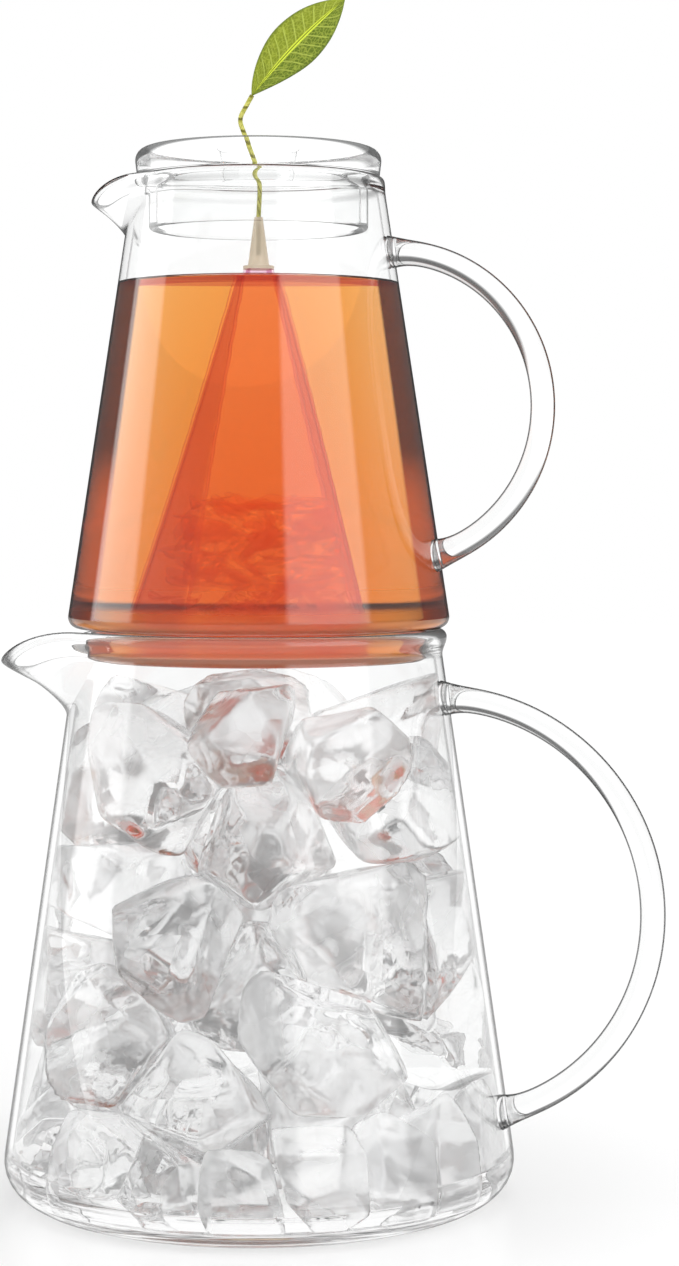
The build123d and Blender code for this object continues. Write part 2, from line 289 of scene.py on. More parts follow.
class Tree:
    """A node tree under construction, for a material, a world or a geometry modifier."""

    prefix = "ShaderNode"

    def __init__(self, owner):
        owner.use_nodes = True
        self.owner = owner
        self.tree = owner.node_tree
        self.tree.nodes.clear()

    def node(self, kind, settings=None, **values):
        """Adds a node: its settings first, then the values or links of its sockets."""
        name = kind if "Node" in kind else self.prefix + kind
        node = self.tree.nodes.new(name)
        for setting, value in (settings or {}).items():
            setattr(node, setting, value)
        for label, value in values.items():
            label = label.replace("_", " ").strip()
            slot = node.inputs[int(label)] if label.isdigit() else node.inputs[label]
            put(self.tree, slot, value)
        return node

    def value(self, kind, output, settings=None, **values):
        """The output of a new node, as a Value."""
        return Value(self.tree, self.node(kind, settings, **values).outputs[output])

    def parts(self, vector):
        """The three numbers of a vector."""
        node = self.node("ShaderNodeSeparateXYZ", Vector=vector)
        return [Value(self.tree, out) for out in node.outputs]

    def place(self):
        """Object coordinates."""
        return self.value("TexCoord", "Object")

    def map(self, name):
        """Coordinates of a piece's own UV map."""
        return self.value("UVMap", "UV", {"uv_map": name})

    def scaled(self, vector, scale):
        """A vector times a scale for each axis."""
        return self.value("Mapping", "Vector", Vector=vector, Scale=scale)

    def noise(self, scale, detail=2.0, roughness=0.5, where=None, distortion=0.0):
        """Noise texture's value."""
        return self.value(
            "TexNoise", "Fac", Vector=where or self.place(), Scale=scale, Detail=detail,
            Roughness=roughness, Distortion=distortion,
        )

    def mix(self, factor, first, second):
        """Colour between two colours."""
        return self.value("Mix", 2, {"data_type": "RGBA"}, _0=factor, _6=first, _7=second)

    def bump(self, height, strength, distance):
        """Normal from a height."""
        return self.value("Bump", "Normal", Height=height, Strength=strength, Distance=distance)

    def principled(self, **values):
        """Principled shader's output."""
        return self.value("BsdfPrincipled", "BSDF", **values)

    def clear(self, tone):
        """Shader that lets light straight through, tinted."""
        return self.value("BsdfTransparent", "BSDF", Color=tone)

    def glow_through(self, tone):
        """Shader of a thin skin lit from behind."""
        return self.value("BsdfTranslucent", "BSDF", Color=tone)

    def blend(self, factor, first, second):
        """Mix Shader's output."""
        return self.value("MixShader", 0, _0=factor, _1=first, _2=second)

    def light_path(self, name):
        """One output of the Light Path node."""
        return self.value("LightPath", name)

    def facing(self):
        """0 head on, 1 edge on."""
        return self.value("LayerWeight", "Facing", Blend=0.5)

    def finish(self, surface, volume=None):
        """Links the output node and returns the owner."""
        out = self.node("OutputMaterial" if isinstance(self.owner, bpy.types.Material) else "OutputWorld")
        put(self.tree, out.inputs["Surface"], surface)
        if volume is not None:
            put(self.tree, out.inputs["Volume"], volume)
        return self.owner


class LeafTree(Tree):
    """A geometry tree: named inputs, then nodes, then one geometry output."""

    prefix = "GeometryNode"

    def __init__(self, name):
        self.tree = bpy.data.node_groups.new(name, "GeometryNodeTree")
        self.tree.interface.new_socket("Geometry", in_out="OUTPUT", socket_type="NodeSocketGeometry")
        self.sockets = {}

    def takes(self, **inputs):
        """Adds the named inputs and returns them as Values."""
        kinds = {float: "NodeSocketFloat", int: "NodeSocketInt", bpy.types.Material: "NodeSocketMaterial"}
        for name, value in inputs.items():
            label = name.replace("_", " ").capitalize()
            socket = self.tree.interface.new_socket(label, in_out="INPUT", socket_type=kinds[type(value)])
            self.sockets[socket.identifier] = value
        start = self.tree.nodes.new("NodeGroupInput")
        return [Value(self.tree, out) for out in start.outputs[:len(inputs)]]

    def random(self, low, high, seed):
        """A random number for each point."""
        node = self.node("FunctionNodeRandomValue", {"data_type": "FLOAT"}, _2=low, _3=high, Seed=seed)
        return Value(self.tree, node.outputs[1])

    def vector(self, x=0.0, y=0.0, z=0.0):
        """A vector from three numbers."""
        return self.value("ShaderNodeCombineXYZ", "Vector", X=x, Y=y, Z=z)

    def turned(self, vector, turn):
        """A vector turned about Z."""
        about_z = {"rotation_type": "Z_AXIS"}
        return self.value("ShaderNodeVectorRotate", "Vector", about_z, Vector=vector, Angle=turn)

    def bent_blade(self, long, wide):
        """A ball's points pressed into a thin blade that narrows and curls towards its ends."""
        x, y, z = self.parts(self.value("InputPosition", "Position"))
        taper = 1.0 - x * x * 2.2
        curl = x * x * 0.9 + y * y * 0.6 - 0.1
        return self.vector(x * long, y * wide * taper, z * 0.0004 + curl * long * 0.6)

    def held_in_bag(self, half, rise, floor, deep, spare):
        """Points kept off the bag's sides and floor and under the heap's wavy top."""
        x, y, z = self.parts(self.value("InputPosition", "Position"))
        waves = (x * 260.0).math("SINE") * (y * 310.0).math("COSINE")
        top = deep + spare * (waves * 2.2 + 0.6)
        held_z = z.math("MAXIMUM", spare * 0.9).math("MINIMUM", top)
        most = half * (1.0 - held_z / rise) - spare * 1.1
        held_x, held_y = (run.math("MINIMUM", most).math("MAXIMUM", most * -1.0) for run in (x, y))
        return self.vector(held_x, held_y, held_z + floor)

    def mesh(self, name, geometry):
        """A plain mesh object of the finished tree."""
        end = self.tree.nodes.new("NodeGroupOutput")
        put(self.tree, end.inputs[0], geometry)
        obj = bpy.data.objects.new(name, bpy.data.meshes.new(name))
        bpy.context.scene.collection.objects.link(obj)
        modifier = obj.modifiers.new(name, "NODES")
        modifier.node_group = self.tree
        for identifier, value in self.sockets.items():
            modifier[identifier] = value
        depsgraph = bpy.context.evaluated_depsgraph_get()
        made = bpy.data.meshes.new_from_object(obj.evaluated_get(depsgraph))
        obj.modifiers.clear()
        obj.data = made
        made.polygons.foreach_set("use_smooth", [True] * len(made.polygons))
        return obj


def material(name):
    """A new material's tree."""
    return Tree(bpy.data.materials.new(name))


# ------------------------------------------------------------------ finishes
def lets_lamps_through(t, shader, tint=CLEAR):
    """Shader that shadow rays pass, tinted."""
    return t.blend(t.light_path("Is Shadow Ray"), shader, t.clear(tint))


def clear_glass(name, ior, coat):
    """Clear glass with a painted dark grey line where its surface turns edge-on, sooner where it bends
    tightly: painted shade standing in for dark surroundings seen through the glass's edge.
    """
    t = material(name)
    bend = t.value("Attribute", "Fac", {"attribute_name": "bend"})
    level = t.parts(t.value("NewGeometry", "Normal"))[2]
    flat = abs(level).step(0.95, 0.99) * (1.0 - bend)
    # Painted shade: the dark edge line's mask, from how edge-on the surface is, kept off level faces.
    line = t.facing().step(0.80 - bend * 0.36, 0.90 - bend * 0.28) * (1.0 - flat)
    glass = t.principled(
        Base_Color=(0.99, 0.993, 0.992), Roughness=0.0, IOR=ior, Transmission_Weight=1.0,
        Coat_Weight=(1.0 - flat) * coat if coat else 0.0,
    )
    # Painted shade: near-black glass that draws the edge line.
    edge = t.principled(Base_Color=(0.015, 0.016, 0.016), Roughness=0.3, IOR=1.1, Transmission_Weight=1.0)
    return t.finish(lets_lamps_through(t, t.blend(line * 0.82, glass, edge)))


def brewed_tea_finish(sizes):
    """Amber liquid, redder towards the bottom, with painted maroon shade at its edge-on sides and a painted
    dark band just below its surface, and near the base a painted flat orange that stands in for light bent
    back and forth through the collar.
    """
    t = material("brewed_tea")
    surface = sizes.tea_level
    height = t.parts(t.place())[2]
    upright = 1.0 - abs(t.parts(t.value("NewGeometry", "Normal"))[2]).step(0.17, 0.25)
    lower = height.step(surface, STEEP_BASE + 8 * MM)
    # Painted shade: a dark band just below the tea's surface.
    painted_surface_band = height.step(surface - 1.6 * MM, surface - 1.3 * MM)
    above = height.step(surface - 0.1 * MM, surface + 0.1 * MM)
    # Painted shade: maroon where the tea's upright sides turn edge-on, dark at the top and redder lower down.
    side = t.facing().step(0.198, 0.21) * upright
    # Painted light: a flat, slightly rough orange near the base, in place of the light the collar bends back
    # and forth.
    painted_base_orange = 1.0 - height.step(STEEP_BASE + 12.0 * MM, STEEP_BASE + 14.5 * MM)
    painted_side_shade = t.mix(lower.step(0.45, 0.75), (0.03, 0.009, 0.017), (0.40, 0.09, 0.085))
    tone = t.mix(lower, CLEAR, (1.0, 0.86, 0.82))
    tone = t.mix(painted_surface_band * (1.0 - above) * upright, tone, (0.62, 0.27, 0.5))
    tone = t.mix(side, tone, painted_side_shade)
    tone = t.mix(painted_base_orange * (1.0 - side), tone, (1.0, 0.86, 0.62))
    liquid = t.principled(Base_Color=tone, Roughness=painted_base_orange * 0.3, IOR=1.333, Transmission_Weight=1.0)
    absorb = t.value("VolumeAbsorption", "Volume", Color=tuple(sizes.tea_colour), Density=sizes.tea_strength)
    return t.finish(lets_lamps_through(t, liquid, (0.98, 0.72, 0.4)), absorb)


def ice_finish():
    """Clear ice with cloudy cores, its skin broken into small slanting facets, with painted dark shade where
    it turns edge-on.
    """
    t = material("ice")
    place = t.place()
    cells = t.value("TexVoronoi", "Color", Vector=place, Scale=120.0)
    lean = t.value("VectorMath", "Vector", {"operation": "SUBTRACT"}, _0=cells, _1=(0.5, 0.5, 0.5))
    facets = t.value("VectorMath", "Value", {"operation": "DOT_PRODUCT"}, _0=lean, _1=place)
    normal = t.bump(t.noise(60.0, 1.5, 0.4) * 0.14 + facets * 115.0, 1.0, 0.0016)
    cloudy = t.noise(30.0, 3.0, 0.55, distortion=0.6).step(0.42, 0.66) * 0.65
    # Painted shade: dark grey where the ice turns edge-on, in place of dark surroundings seen through it.
    painted_edge_shade = t.facing().step(0.72, 0.95) * 0.5
    clear, cloud, edge = (
        t.principled(Base_Color=tone, Roughness=rough, IOR=ior, Transmission_Weight=1.0, Normal=normal)
        for tone, rough, ior in (
            ((0.99, 0.99, 0.99), 0.0, 1.24),
            ((0.97, 0.97, 0.975), 0.35, 1.24),
            ((0.16, 0.16, 0.165), 0.1, 1.1),
        )
    )
    return t.finish(lets_lamps_through(t, t.blend(painted_edge_shade, t.blend(cloudy, clear, cloud), edge)))


def infuser_cloth_finish():
    """Fine cloth, wet through: it tints what is seen through it, and its threads catch a little light."""
    t = material("infuser_cloth")
    weft, warp = ((run * TAU).math("SINE") for run in t.parts(t.map("weave"))[:2])
    threads = (weft * warp * 0.5 + 0.5).step(0.2, 0.8)
    cover = 0.02 + threads * 0.04 + t.noise(90.0, 3.0, 0.6) * 0.05
    through = t.blend(t.facing().step(0.25, 0.75), t.clear((1.0, 0.93, 0.98)), t.clear((0.88, 0.70, 0.82)))
    return t.finish(t.blend(cover, through, t.glow_through((1.0, 0.42, 0.26))))


def infuser_base_finish():
    """The same wet cloth as the bag's floor, with an uneven grain."""
    t = material("infuser_base_cloth")
    cover = 0.12 + t.noise(900.0, 2.0) * 0.12
    return t.finish(t.blend(cover, t.clear((1.0, 0.84, 0.88)), t.glow_through((1.0, 0.42, 0.26))))


def wet_leaf_finish():
    """Steeped tea leaf: orange brown, mottled and mostly see-through."""
    t = material("wet_leaf")
    mottle = t.noise(420.0, 4.0, 0.65)
    tone = t.mix(mottle.step(0.3, 0.75), (0.88, 0.55, 0.38), (0.98, 0.72, 0.55))
    skin = t.principled(Base_Color=tone, Roughness=0.35, Normal=t.bump(mottle, 0.5, 0.0004))
    body = t.blend(0.5, skin, t.glow_through((0.98, 0.66, 0.48)))
    return t.finish(t.blend(0.87, body, t.clear((0.99, 0.975, 0.98))))


def stem_paper_finish():
    """Olive paper wound round the wire: slanting laps, rough and unevenly dyed."""
    t = material("stem_paper")
    x, y, height = t.parts(t.place())
    laps = ((height * 700.0 + y.math("ARCTAN2", x)) * TAU * 0.5).math("SINE") * 0.5 + 0.5
    fibres = t.noise(900.0, 4.0, 0.7)
    tone = t.mix(fibres.step(0.3, 0.7), (0.30, 0.30, 0.04), (0.62, 0.60, 0.16))
    worn = t.mix(laps.step(0.0, 0.25), (0.16, 0.15, 0.02), tone)
    rough = t.bump(laps * 0.5 + fibres, 0.9, 0.0003)
    return t.finish(t.principled(Base_Color=worn, Roughness=0.85, Normal=rough))


def wire_finish():
    """Drawn steel wire with fine lengthwise lines."""
    t = material("wire")
    lines = t.noise(300.0, 3.0, 0.6, where=t.scaled(t.place(), (12.0, 12.0, 1.0)))
    tone = t.mix(lines, (0.42, 0.42, 0.40), (0.66, 0.66, 0.63))
    return t.finish(t.principled(Base_Color=tone, Metallic=1.0, Roughness=lines * 0.2 + 0.25))


def cap_plastic_finish():
    """Cloudy tan plastic, part see-through, with flow marks."""
    t = material("cap_plastic")
    flow = t.noise(160.0, 3.0, 0.55, where=t.scaled(t.place(), (1.0, 1.0, 0.35)))
    tone = t.mix(flow.step(0.3, 0.7), (0.62, 0.53, 0.40), (0.86, 0.77, 0.64))
    skin = t.principled(Base_Color=tone, Roughness=0.32, Coat_Weight=0.4, Normal=t.bump(flow, 0.4, 0.0004))
    return t.finish(t.blend(0.34 + flow * 0.2, skin, t.clear((0.9, 0.84, 0.74))))


def leaf_green_finish():
    """Satin leaf: bright midrib with a groove of painted dark shade, pale veins and a fine net, and one half
    painted deeper green as shade.
    """
    t = material("leaf_green")
    leaf = t.map("leaf")
    along, half, _ = t.parts(leaf)
    across = half * 2.0 - 1.0
    away = abs(across)
    mottle = t.noise(520.0, 4.0, 0.7)
    phase = (along - away ** 0.75 * 0.13 + (t.noise(260.0, 2.0) - 0.5) * 0.02) * 11.0
    vein = 1.0 - abs(phase.math("FRACT") - 0.5).step(0.02, 0.13)
    vein = vein * (1.0 - away.step(0.72, 0.95)) * away.step(0.03, 0.12)
    fine = 1.0 - abs((phase * 3.0).math("FRACT") - 0.5).step(0.02, 0.2)
    cells = t.scaled(leaf, (26.0, 15.0, 1.0))
    net = t.value("TexVoronoi", "Distance", {"feature": "DISTANCE_TO_EDGE"}, Vector=cells, Scale=1.0)
    net = 1.0 - net.step(0.02, 0.13)
    rib = 1.0 - away.step(0.05, 0.11)
    groove = 1.0 - abs(across - 0.01).step(0.008, 0.03)
    tapering = 1.0 - along.step(0.86, 0.97)
    # Painted shade: one half of the leaf deeper green, as if turned from the light.
    base = t.mix(across.step(-0.04, 0.04), (0.105, 0.155, 0.016), (0.205, 0.250, 0.018))
    for share, tone in (
        (mottle.step(0.3, 0.75) * 0.55, (0.085, 0.11, 0.012)),
        (fine * 0.16, (0.40, 0.46, 0.08)),
        (vein * 0.55, (0.46, 0.54, 0.10)),
        (net * 0.42, (0.40, 0.46, 0.07)),
        (away.step(0.86, 1.0) * 0.6, (0.07, 0.11, 0.02)),
        (rib * tapering * 0.9, (0.62, 0.72, 0.06)),
        # Painted shade: dark along the midrib's groove.
        (groove * tapering * 0.85, (0.06, 0.10, 0.01)),
    ):
        base = t.mix(share, base, tone)
    height = rib * 0.6 - groove * 0.5 + vein * 0.5 + mottle * 0.3
    return t.finish(t.principled(
        Base_Color=base, Roughness=0.55, Specular_IOR_Level=0.15, Normal=t.bump(height, 0.7, 0.0005),
    ))


FINISHES = {}


def make_finishes():
    """Materials that several pieces share."""
    FINISHES["glass"] = clear_glass("clear_glass", 1.47, 0.0)
    # The lid's glass hardly bends light; its edges show as the painted dark edge line.
    FINISHES["lid_glass"] = clear_glass("lid_glass", 1.002, 0.6)
    FINISHES["cloth"] = infuser_cloth_finish()


# ------------------------------------------------------------------ mesh tools
def build(name, verts, faces, bends=None):
    """A smooth mesh object at the origin; bends says for each point how tightly it curves, which the glass's
    painted dark edge line follows.
    """
    mesh = bpy.data.meshes.new(name)
    mesh.from_pydata([tuple(v) for v in verts], [], faces)
    mesh.polygons.foreach_set("use_smooth", [True] * len(mesh.polygons))
    if bends:
        mesh.attributes.new("bend", "FLOAT", "POINT").data.foreach_set("value", bends)
    obj = bpy.data.objects.new(name, mesh)
    bpy.context.scene.collection.objects.link(obj)
    return obj


def outward(obj, weld=0.0):
    """Turns every face outwards, after merging doubled points."""
    work = bmesh.new()
    work.from_mesh(obj.data)
    if weld:
        bmesh.ops.remove_doubles(work, verts=work.verts, dist=weld)
    bmesh.ops.recalc_face_normals(work, faces=work.faces)
    work.to_mesh(obj.data)
    work.free()
    return obj


def through_rings(name, rings, bends=None, weld=0.0):
    """Closed skin through rings of points; a ring of one point is a pole."""
    verts, faces, starts, bent = [], [], [], []
    for i, ring in enumerate(rings):
        starts.append(len(verts))
        verts.extend(ring)
        if bends:
            bent.extend([bends[i]] * len(ring))
    for i in range(len(rings) - 1):
        a, b = starts[i], starts[i + 1]
        na, nb = len(rings[i]), len(rings[i + 1])
        for j in range(max(na, nb)):
            k = (j + 1) % max(na, nb)
            if na == 1:
                faces.append((a, b + j, b + k))
            elif nb == 1:
                faces.append((a + j, b, a + k))
            else:
                faces.append((a + j, b + j, b + k, a + k))
    return outward(build(name, verts, faces, bent), weld)


def rounded(corners):
    """(point, bend) along (radius, height, round) corners, with arcs at the rounds."""
    points = []
    last = len(corners) - 1
    for i, (r, z, rounding) in enumerate(corners):
        here = Vector((r, z))
        if rounding <= 0 or i in (0, last):
            points.append((here, 0.0))
            continue
        before = (Vector(corners[i - 1][:2]) - here).normalized()
        after = (Vector(corners[i + 1][:2]) - here).normalized()
        half = before.angle(after) / 2
        reach = rounding / math.tan(half)
        centre = here + (before + after).normalized() * rounding / math.sin(half)
        start, end = here + before * reach - centre, here + after * reach - centre
        sweep = start.angle_signed(end)
        tight = min(1.0, TIGHT_ROUND / rounding)
        for k in range(ARC_STEPS + 1):
            turn = -sweep * k / ARC_STEPS
            c, s = math.cos(turn), math.sin(turn)
            spot = centre + Vector((start.x * c - start.y * s, start.x * s + start.y * c))
            points.append((spot, tight))
    return held_flat(points)


def held_flat(points, near=0.35 * MM, most=7 * MM):
    """Adds points on straight runs, so that smooth shading stays true along them."""
    full = [points[0]]
    for (a, bend_a), (b, bend_b) in zip(points, points[1:]):
        run = (b - a).length
        if run > 3 * near:
            middle = max(1, round((run - 2 * near) / most))
            places = [near + (run - 2 * near) * k / middle for k in range(middle + 1)]
            full.extend((a + (b - a) * (place / run), 0.0) for place in places)
        full.append((b, bend_b))
    return full


def ring_at(r, z, turns):
    """Level ring of points, or one point on the axis."""
    if r < WELD:
        return [Vector((0, 0, z))]
    return [Vector((r * math.cos(a), r * math.sin(a), z)) for a in turns]


def revolved(name, corners, bend_at=None, weld=0.0):
    """Solid of revolution from rounded corners; ends on the axis become poles."""
    turns = [TAU * j / RING_POINTS for j in range(RING_POINTS)]
    outline = rounded(corners)
    rings = [ring_at(p.x, p.y, turns) for p, _ in outline]
    return through_rings(name, rings, [bend_at(p, bend) if bend_at else bend for p, bend in outline], weld)


class Vessel:
    """A pitcher's tapered wall, with a spout pinched out of it at -X."""

    points = 256  # round the pitcher
    crowding = 0.55  # how much closer together they are at the spout
    wall_steps = 26  # up the pinched part of the wall
    blend_steps = 6  # from the wall into the rim's bead
    over_steps = 14  # over the bead
    tip_round = math.radians(4.5)  # turn over which the spout's crease is rounded
    swell = 1.35  # how the spout's stand-out grows with height
    plain_band = 4 * MM  # round wall kept under the spout's root
    low_bend = 0.25  # share of the painted dark edge line that the base's rounds show
    sunk = 0.05 * MM  # how far the handle's ends lie in the wall
    handle_points, handle_steps = 40, 110  # round the rod and along it
    look = 0.002  # turn to each side that gives the wall's direction
    flare_run = 3.2 * MM  # along the handle, over which its end widens

    def __init__(self, sizes, base_z, rim_z):
        self.s = sizes
        self.base_z = base_z
        self.rim_z = rim_z
        self.slope = (sizes.foot - sizes.mouth) / (rim_z - base_z)
        self.tip_z = rim_z - sizes.drop
        self.root_z = rim_z - sizes.root
        self.join_z = self.root_z - self.plain_band
        self.lip_start = -self.cone(rim_z) * math.cos(self.beak_angle(self.tip_z) * 0.75)
        self.tip_x = -(self.cone(self.tip_z) + sizes.reach)
        self.below = 4 * sizes.bead  # lip down to where the wall starts to swell into the bead

    def cone(self, z, inset=0.0):
        """Radius of the wall's outside at height z."""
        return self.s.foot - self.slope * (z - self.base_z) - inset

    def beak_angle(self, z):
        """Angle from the spout's crease to where its flank meets the round wall."""
        climb = max(0.0, (z - self.root_z) / (self.tip_z - self.root_z))
        stand_out = self.s.reach * climb**self.swell
        return math.acos(self.cone(z) / (self.cone(z) + stand_out))

    def radius(self, z, turn, inset):
        """Radius at height z and turn from the spout: flat flanks, round wall."""
        away = math.sqrt(turn**2 + self.tip_round**2) - self.tip_round
        return self.cone(z, inset) / math.cos(max(0.0, self.beak_angle(z) - away))

    def lip_z(self, x):
        """Height of the lip at x: level, then along an arc down to the tip."""
        run = self.lip_start - self.tip_x
        bow = (run**2 + self.s.drop**2) / (2 * self.s.drop)
        out = min(max(0.0, self.lip_start - x), 0.98 * bow)
        return self.rim_z - (bow - math.sqrt(bow**2 - out**2))

    def lip_at(self, turn):
        """Height of the lip at a turn about Z, found by halving."""
        low, high = self.join_z, self.rim_z
        for _ in range(30):
            z = (low + high) / 2
            x = self.radius(z, turn - math.pi, self.s.wall / 2) * math.cos(turn)
            low, high = (z, high) if z < self.lip_z(x) else (low, z)
        return (low + high) / 2

    def middle(self, z, turn):
        """Point in the middle of the wall."""
        r = self.radius(z, turn % TAU - math.pi, self.s.wall / 2)
        return Vector((r * math.cos(turn), r * math.sin(turn), z))

    def at(self, z, turn, offset):
        """Point at an offset outwards from the wall's middle."""
        ahead, behind = self.middle(z, turn + self.look), self.middle(z, turn - self.look)
        along = (ahead - behind).normalized()
        return self.middle(z, turn) + Vector((along.y, -along.x, 0)) * offset

    def turns(self):
        """Angles round the pitcher, closer together at the spout."""
        even = [TAU * j / self.points for j in range(self.points)]
        return [a + self.crowding * math.sin(a) for a in even]

    def side_stations(self, side):
        """(on the bead, offset, place) from the join up to the bead; side is 1 outside and -1 inside."""
        half, bead, out = self.s.wall / 2, self.s.bead, self.s.bead_out
        stations = [(False, side * half, k / self.wall_steps) for k in range(self.wall_steps + 1)]
        for k in range(1, self.blend_steps + 1):
            t = k / self.blend_steps
            ease = t * t * (3 - 2 * t)
            offset = side * half + (out + side * (bead - half)) * ease
            stations.append((True, offset, self.below + (bead - self.below) * t))
        return stations

    def upper_rings(self):
        """Rings from the join up the outside, over the bead and down the inside."""
        over = []
        for k in range(1, self.over_steps):
            a = math.pi * k / self.over_steps
            over.append((True, self.s.bead_out + self.s.bead * math.cos(a), self.s.bead * (1 - math.sin(a))))
        turns = self.turns()
        lips = [self.lip_at(a) for a in turns]
        rings, bends = [], []
        for on_bead, offset, place in (*self.side_stations(1), *over, *reversed(self.side_stations(-1))):
            bends.append(max(0.0, 1.0 - place / self.below) ** 2 if on_bead else 0.0)
            ring = []
            for a, lip in zip(turns, lips):
                wall_z = self.join_z + (lip - self.below - self.join_z) * place
                ring.append(self.at(lip - place if on_bead else wall_z, a, offset))
            rings.append(ring)
        return rings, bends

    def lower_rings(self, corners):
        """Rings of revolution and their bends; an end on the axis becomes a pole."""
        outline = rounded(corners)
        turns = self.turns()
        return [ring_at(p.x, p.y, turns) for p, _ in outline], [bend for _, bend in outline]

    def glass(self, name, outside, inside):
        """The whole pitcher: outside corners upwards, then inside corners downwards."""
        below, below_bends = self.lower_rings(outside)
        upper, upper_bends = self.upper_rings()
        within, _ = self.lower_rings(inside)
        soft = [bend * self.low_bend for bend in below_bends[:-1]]
        bends = soft + upper_bends + [0.0] * (len(within) - 1)
        return through_rings(name, below[:-1] + upper + within[1:], bends)

    def handle(self, name):
        """Bent rod whose widened ends lie on the wall."""
        top_z, low_z = self.rim_z - self.s.handle_drop, self.base_z + self.s.handle_low
        bend = (top_z - low_z) / 2
        centre = Vector((self.cone(top_z), 0, (top_z + low_z) / 2))
        lines = [self.rod_line(centre, bend, TAU * j / self.handle_points) for j in range(self.handle_points)]
        rings = list(zip(*lines))
        ends = []
        for ring in (rings[0], rings[-1]):
            mid = sum(ring, Vector()) / self.handle_points
            radial = Vector((mid.x, mid.y, 0)).normalized()
            ends.append([radial * (self.cone(mid.z) - self.sunk) + Vector((0, 0, mid.z))])
        whole = [ends[0], *rings, ends[1]]
        return through_rings(name, whole, [1.0] * len(whole))

    def rod_line(self, centre, bend, round_angle):
        """One line of points along the rod, from wall to wall."""
        def point(turn, flare):
            radius = self.s.rod / 2 + (self.s.fused - self.s.rod) / 2 * flare
            reach = bend + radius * math.cos(round_angle)
            return centre + Vector((
                reach * math.cos(turn), radius * math.sin(round_angle), reach * math.sin(turn)
            ))

        def inside(turn):
            p = point(turn, 1.0)
            return math.hypot(p.x, p.y) < self.cone(p.z) - self.sunk

        ends = []
        for far in (-math.pi * 0.62, math.pi * 0.62):
            low, high = 0.0, far
            for _ in range(40):
                mid = (low + high) / 2
                low, high = (low, mid) if inside(mid) else (mid, high)
            ends.append(low)
        line = []
        for k in range(self.handle_steps + 1):
            turn = ends[0] + (ends[1] - ends[0]) * k / self.handle_steps
            near = max(0.0, min(turn - ends[0], ends[1] - turn)) * bend
            flare = math.exp(-((near / self.flare_run) ** 1.3))
            line.append(point(turn, flare))
        return line


# ------------------------------------------------------------------ operators
def dress(obj, finish, body, *nodes, slot=None):
    """Gives a piece its finish, its body and the nodes it stands for."""
    obj.data.materials.clear()
    obj.data.materials.append(finish)
    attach(obj, body)
    if nodes:
        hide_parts(*nodes)
    return obj


def blow(body, v, outside, inside):
    """Makes a pitcher's glass and its handle."""
    glass = v.glass(f"{body}_glass", outside, inside)
    dress(glass, FINISHES["glass"], body, f"{body}_body", slot="clear_glass")
    rod = v.handle(f"{body}_handle_rod")
    dress(rod, FINISHES["glass"], body, f"{body}_handle", slot="clear_glass")


def repaint(node, finish):
    """Puts a finish on a node that keeps its own mesh."""
    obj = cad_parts[node]
    for slot in obj.material_slots:
        slot.material = finish


